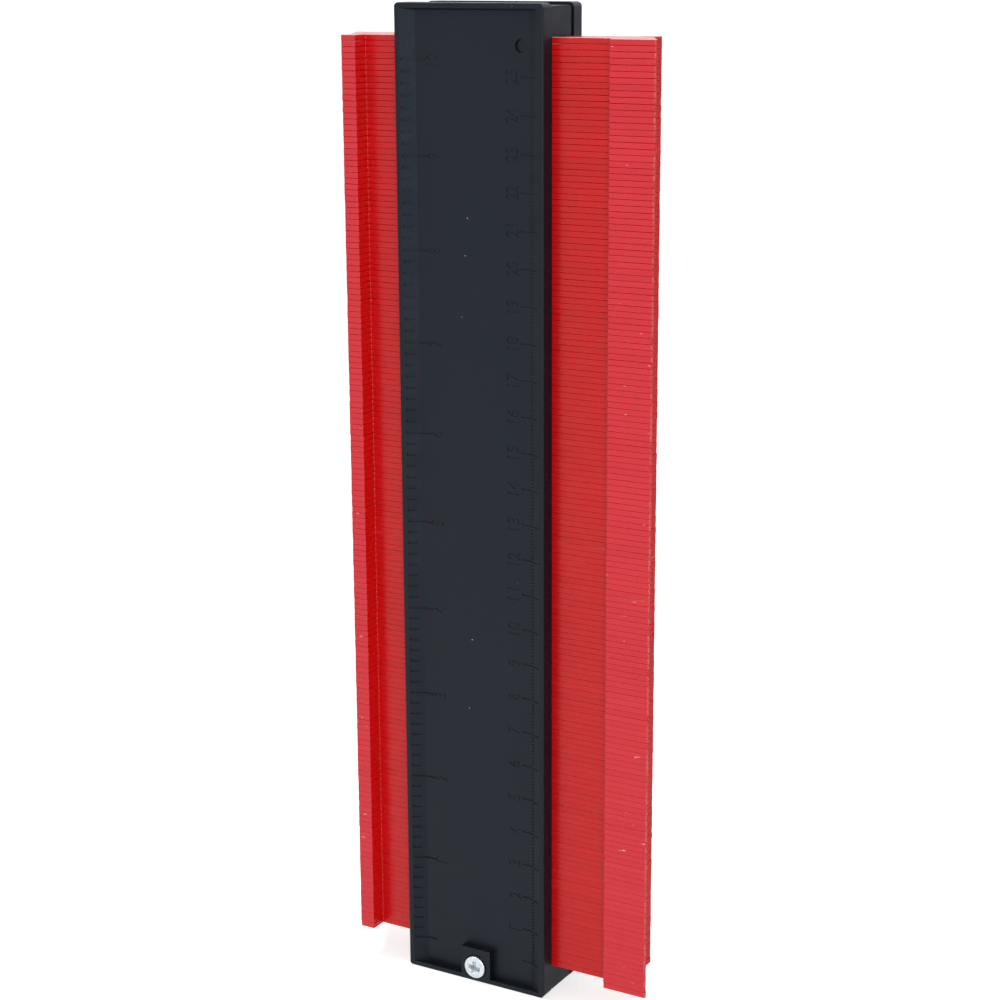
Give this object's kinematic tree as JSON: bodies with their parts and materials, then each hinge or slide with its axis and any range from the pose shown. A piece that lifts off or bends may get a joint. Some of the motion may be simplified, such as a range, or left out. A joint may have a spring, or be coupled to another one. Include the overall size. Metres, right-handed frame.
{
  "type": "contour gauge",
  "caption": "Contour gauge: thin red plastic leaves slide side by side, crosswise between black body halves with inch and centimetre scales, held by end clamp screws, to copy a profile.",
  "frame": {"origin": "middle of the footprint at the lower end, where both halves' covers end", "axes": "+Z along the body towards the high end of the scales, +X to the right along the leaves, +Y from the front to the rear"},
  "size_m": [0.1026, 0.0232, 0.278],
  "materials": {
    "body_plastic": "fine moulded matt black",
    "leaf_plastic": "satin moulded red",
    "felt": "pressed grey felt",
    "screw_steel": "bright zinc plate"
  },
  "bodies": {
    "body": {"front_body_half": "body_plastic", "rear_body_half": "body_plastic", "front_friction_strip": "felt", "rear_friction_strip": "felt"},
    "front_screw": {"front_clamp_screw": "screw_steel"},
    "rear_screw": {"rear_clamp_screw": "screw_steel"},
    "leaf_pack_01": {"leaf_pack_01": "leaf_plastic"},
    "leaf_pack_02": {"leaf_pack_02": "leaf_plastic"},
    "leaf_pack_03": {"leaf_pack_03": "leaf_plastic"},
    "leaf_pack_04": {"leaf_pack_04": "leaf_plastic"},
    "leaf_pack_05": {"leaf_pack_05": "leaf_plastic"},
    "leaf_pack_06": {"leaf_pack_06": "leaf_plastic"},
    "leaf_pack_07": {"leaf_pack_07": "leaf_plastic"},
    "leaf_pack_08": {"leaf_pack_08": "leaf_plastic"},
    "leaf_pack_09": {"leaf_pack_09": "leaf_plastic"},
    "leaf_pack_10": {"leaf_pack_10": "leaf_plastic"},
    "leaf_pack_11": {"leaf_pack_11": "leaf_plastic"},
    "leaf_pack_12": {"leaf_pack_12": "leaf_plastic"},
    "leaf_pack_13": {"leaf_pack_13": "leaf_plastic"},
    "leaf_pack_14": {"leaf_pack_14": "leaf_plastic"},
    "leaf_pack_15": {"leaf_pack_15": "leaf_plastic"},
    "leaf_pack_16": {"leaf_pack_16": "leaf_plastic"},
    "leaf_pack_17": {"leaf_pack_17": "leaf_plastic"},
    "leaf_pack_18": {"leaf_pack_18": "leaf_plastic"},
    "leaf_pack_19": {"leaf_pack_19": "leaf_plastic"},
    "leaf_pack_20": {"leaf_pack_20": "leaf_plastic"},
    "leaf_pack_21": {"leaf_pack_21": "leaf_plastic"},
    "leaf_pack_22": {"leaf_pack_22": "leaf_plastic"},
    "leaf_pack_23": {"leaf_pack_23": "leaf_plastic"},
    "leaf_pack_24": {"leaf_pack_24": "leaf_plastic"},
    "leaf_pack_25": {"leaf_pack_25": "leaf_plastic"},
    "leaf_pack_26": {"leaf_pack_26": "leaf_plastic"},
    "leaf_pack_27": {"leaf_pack_27": "leaf_plastic"},
    "leaf_pack_28": {"leaf_pack_28": "leaf_plastic"},
    "leaf_pack_29": {"leaf_pack_29": "leaf_plastic"},
    "leaf_pack_30": {"leaf_pack_30": "leaf_plastic"},
    "leaf_pack_31": {"leaf_pack_31": "leaf_plastic"},
    "leaf_pack_32": {"leaf_pack_32": "leaf_plastic"},
    "leaf_pack_33": {"leaf_pack_33": "leaf_plastic"},
    "leaf_pack_34": {"leaf_pack_34": "leaf_plastic"},
    "leaf_pack_35": {"leaf_pack_35": "leaf_plastic"},
    "leaf_pack_36": {"leaf_pack_36": "leaf_plastic"},
    "leaf_pack_37": {"leaf_pack_37": "leaf_plastic"},
    "leaf_pack_38": {"leaf_pack_38": "leaf_plastic"},
    "leaf_pack_39": {"leaf_pack_39": "leaf_plastic"},
    "leaf_pack_40": {"leaf_pack_40": "leaf_plastic"},
    "leaf_pack_41": {"leaf_pack_41": "leaf_plastic"}
  },
  "joints": [
    {"name": "front_screw_turn", "type": "hinge", "parent": "body", "child": "front_screw", "pos_m": [0, -0.0105, 0.00465], "axis": [0, -1, 0], "range_deg": [-180, 180]},
    {"name": "rear_screw_turn", "type": "hinge", "parent": "body", "child": "rear_screw", "pos_m": [0, 0.0105, 0.27335], "axis": [0, 1, 0], "range_deg": [-180, 180]},
    {"name": "leaf_pack_01_slide", "type": "slide", "parent": "body", "child": "leaf_pack_01", "axis": [1, 0, 0], "range_m": [-0.01895, 0.01215]},
    {"name": "leaf_pack_02_slide", "type": "slide", "parent": "body", "child": "leaf_pack_02", "axis": [1, 0, 0], "range_m": [-0.01895, 0.01215]},
    {"name": "leaf_pack_03_slide", "type": "slide", "parent": "body", "child": "leaf_pack_03", "axis": [1, 0, 0], "range_m": [-0.01895, 0.01215]},
    {"name": "leaf_pack_04_slide", "type": "slide", "parent": "body", "child": "leaf_pack_04", "axis": [1, 0, 0], "range_m": [-0.01895, 0.01215]},
    {"name": "leaf_pack_05_slide", "type": "slide", "parent": "body", "child": "leaf_pack_05", "axis": [1, 0, 0], "range_m": [-0.01895, 0.01215]},
    {"name": "leaf_pack_06_slide", "type": "slide", "parent": "body", "child": "leaf_pack_06", "axis": [1, 0, 0], "range_m": [-0.01895, 0.01215]},
    {"name": "leaf_pack_07_slide", "type": "slide", "parent": "body", "child": "leaf_pack_07", "axis": [1, 0, 0], "range_m": [-0.01895, 0.01215]},
    {"name": "leaf_pack_08_slide", "type": "slide", "parent": "body", "child": "leaf_pack_08", "axis": [1, 0, 0], "range_m": [-0.01895, 0.01215]},
    {"name": "leaf_pack_09_slide", "type": "slide", "parent": "body", "child": "leaf_pack_09", "axis": [1, 0, 0], "range_m": [-0.01895, 0.01215]},
    {"name": "leaf_pack_10_slide", "type": "slide", "parent": "body", "child": "leaf_pack_10", "axis": [1, 0, 0], "range_m": [-0.01895, 0.01215]},
    {"name": "leaf_pack_11_slide", "type": "slide", "parent": "body", "child": "leaf_pack_11", "axis": [1, 0, 0], "range_m": [-0.01895, 0.01215]},
    {"name": "leaf_pack_12_slide", "type": "slide", "parent": "body", "child": "leaf_pack_12", "axis": [1, 0, 0], "range_m": [-0.01895, 0.01215]},
    {"name": "leaf_pack_13_slide", "type": "slide", "parent": "body", "child": "leaf_pack_13", "axis": [1, 0, 0], "range_m": [-0.01895, 0.01215]},
    {"name": "leaf_pack_14_slide", "type": "slide", "parent": "body", "child": "leaf_pack_14", "axis": [1, 0, 0], "range_m": [-0.01895, 0.01215]},
    {"name": "leaf_pack_15_slide", "type": "slide", "parent": "body", "child": "leaf_pack_15", "axis": [1, 0, 0], "range_m": [-0.01895, 0.01215]},
    {"name": "leaf_pack_16_slide", "type": "slide", "parent": "body", "child": "leaf_pack_16", "axis": [1, 0, 0], "range_m": [-0.01895, 0.01215]},
    {"name": "leaf_pack_17_slide", "type": "slide", "parent": "body", "child": "leaf_pack_17", "axis": [1, 0, 0], "range_m": [-0.01895, 0.01215]},
    {"name": "leaf_pack_18_slide", "type": "slide", "parent": "body", "child": "leaf_pack_18", "axis": [1, 0, 0], "range_m": [-0.01895, 0.01215]},
    {"name": "leaf_pack_19_slide", "type": "slide", "parent": "body", "child": "leaf_pack_19", "axis": [1, 0, 0], "range_m": [-0.01895, 0.01215]},
    {"name": "leaf_pack_20_slide", "type": "slide", "parent": "body", "child": "leaf_pack_20", "axis": [1, 0, 0], "range_m": [-0.01895, 0.01215]},
    {"name": "leaf_pack_21_slide", "type": "slide", "parent": "body", "child": "leaf_pack_21", "axis": [1, 0, 0], "range_m": [-0.01895, 0.01215]},
    {"name": "leaf_pack_22_slide", "type": "slide", "parent": "body", "child": "leaf_pack_22", "axis": [1, 0, 0], "range_m": [-0.01895, 0.01215]},
    {"name": "leaf_pack_23_slide", "type": "slide", "parent": "body", "child": "leaf_pack_23", "axis": [1, 0, 0], "range_m": [-0.01895, 0.01215]},
    {"name": "leaf_pack_24_slide", "type": "slide", "parent": "body", "child": "leaf_pack_24", "axis": [1, 0, 0], "range_m": [-0.01895, 0.01215]},
    {"name": "leaf_pack_25_slide", "type": "slide", "parent": "body", "child": "leaf_pack_25", "axis": [1, 0, 0], "range_m": [-0.01895, 0.01215]},
    {"name": "leaf_pack_26_slide", "type": "slide", "parent": "body", "child": "leaf_pack_26", "axis": [1, 0, 0], "range_m": [-0.01895, 0.01215]},
    {"name": "leaf_pack_27_slide", "type": "slide", "parent": "body", "child": "leaf_pack_27", "axis": [1, 0, 0], "range_m": [-0.01895, 0.01215]},
    {"name": "leaf_pack_28_slide", "type": "slide", "parent": "body", "child": "leaf_pack_28", "axis": [1, 0, 0], "range_m": [-0.01895, 0.01215]},
    {"name": "leaf_pack_29_slide", "type": "slide", "parent": "body", "child": "leaf_pack_29", "axis": [1, 0, 0], "range_m": [-0.01895, 0.01215]},
    {"name": "leaf_pack_30_slide", "type": "slide", "parent": "body", "child": "leaf_pack_30", "axis": [1, 0, 0], "range_m": [-0.01895, 0.01215]},
    {"name": "leaf_pack_31_slide", "type": "slide", "parent": "body", "child": "leaf_pack_31", "axis": [1, 0, 0], "range_m": [-0.01895, 0.01215]},
    {"name": "leaf_pack_32_slide", "type": "slide", "parent": "body", "child": "leaf_pack_32", "axis": [1, 0, 0], "range_m": [-0.01895, 0.01215]},
    {"name": "leaf_pack_33_slide", "type": "slide", "parent": "body", "child": "leaf_pack_33", "axis": [1, 0, 0], "range_m": [-0.01895, 0.01215]},
    {"name": "leaf_pack_34_slide", "type": "slide", "parent": "body", "child": "leaf_pack_34", "axis": [1, 0, 0], "range_m": [-0.01895, 0.01215]},
    {"name": "leaf_pack_35_slide", "type": "slide", "parent": "body", "child": "leaf_pack_35", "axis": [1, 0, 0], "range_m": [-0.01895, 0.01215]},
    {"name": "leaf_pack_36_slide", "type": "slide", "parent": "body", "child": "leaf_pack_36", "axis": [1, 0, 0], "range_m": [-0.01895, 0.01215]},
    {"name": "leaf_pack_37_slide", "type": "slide", "parent": "body", "child": "leaf_pack_37", "axis": [1, 0, 0], "range_m": [-0.01895, 0.01215]},
    {"name": "leaf_pack_38_slide", "type": "slide", "parent": "body", "child": "leaf_pack_38", "axis": [1, 0, 0], "range_m": [-0.01895, 0.01215]},
    {"name": "leaf_pack_39_slide", "type": "slide", "parent": "body", "child": "leaf_pack_39", "axis": [1, 0, 0], "range_m": [-0.01895, 0.01215]},
    {"name": "leaf_pack_40_slide", "type": "slide", "parent": "body", "child": "leaf_pack_40", "axis": [1, 0, 0], "range_m": [-0.01895, 0.01215]},
    {"name": "leaf_pack_41_slide", "type": "slide", "parent": "body", "child": "leaf_pack_41", "axis": [1, 0, 0], "range_m": [-0.01895, 0.01215]}
  ]
}
